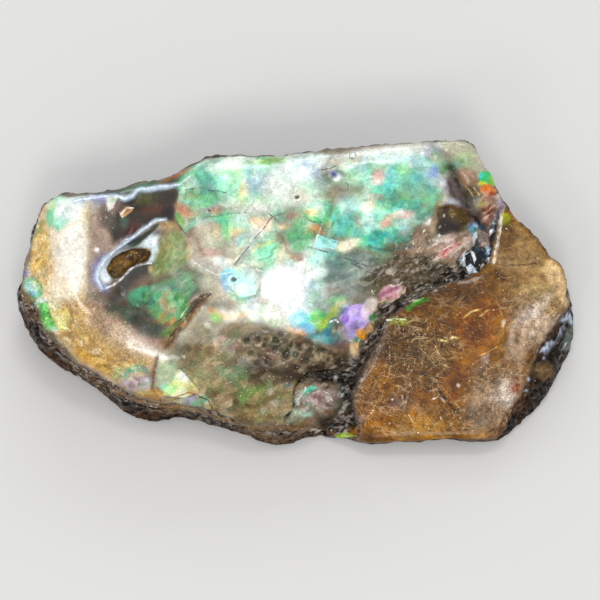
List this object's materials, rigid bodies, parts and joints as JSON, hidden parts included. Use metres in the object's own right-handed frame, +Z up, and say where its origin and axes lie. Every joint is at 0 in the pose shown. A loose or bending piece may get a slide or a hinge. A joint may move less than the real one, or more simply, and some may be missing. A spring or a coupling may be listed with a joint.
{
  "type": "ammolite specimen",
  "caption": "Loose polished lump of iridescent fossil ammonite shell, broken off along a ragged ledge above a flat face of honey-brown calcite; rests on its flat underside.",
  "frame": {"origin": "middle of the stone's bounding box, on the flat underside", "axes": "+Z up from the flat underside; +X along the stone's length, towards the calcite end; +Y towards its thick back, so the polished face slopes down towards -Y"},
  "size_m": [0.0566, 0.0282, 0.0155],
  "materials": {
    "fossil_stone": "polished on the face, rough and broken on the walls and underside"
  },
  "bodies": {
    "root": {"ammolite_specimen": "fossil_stone"}
  },
  "joints": []
}
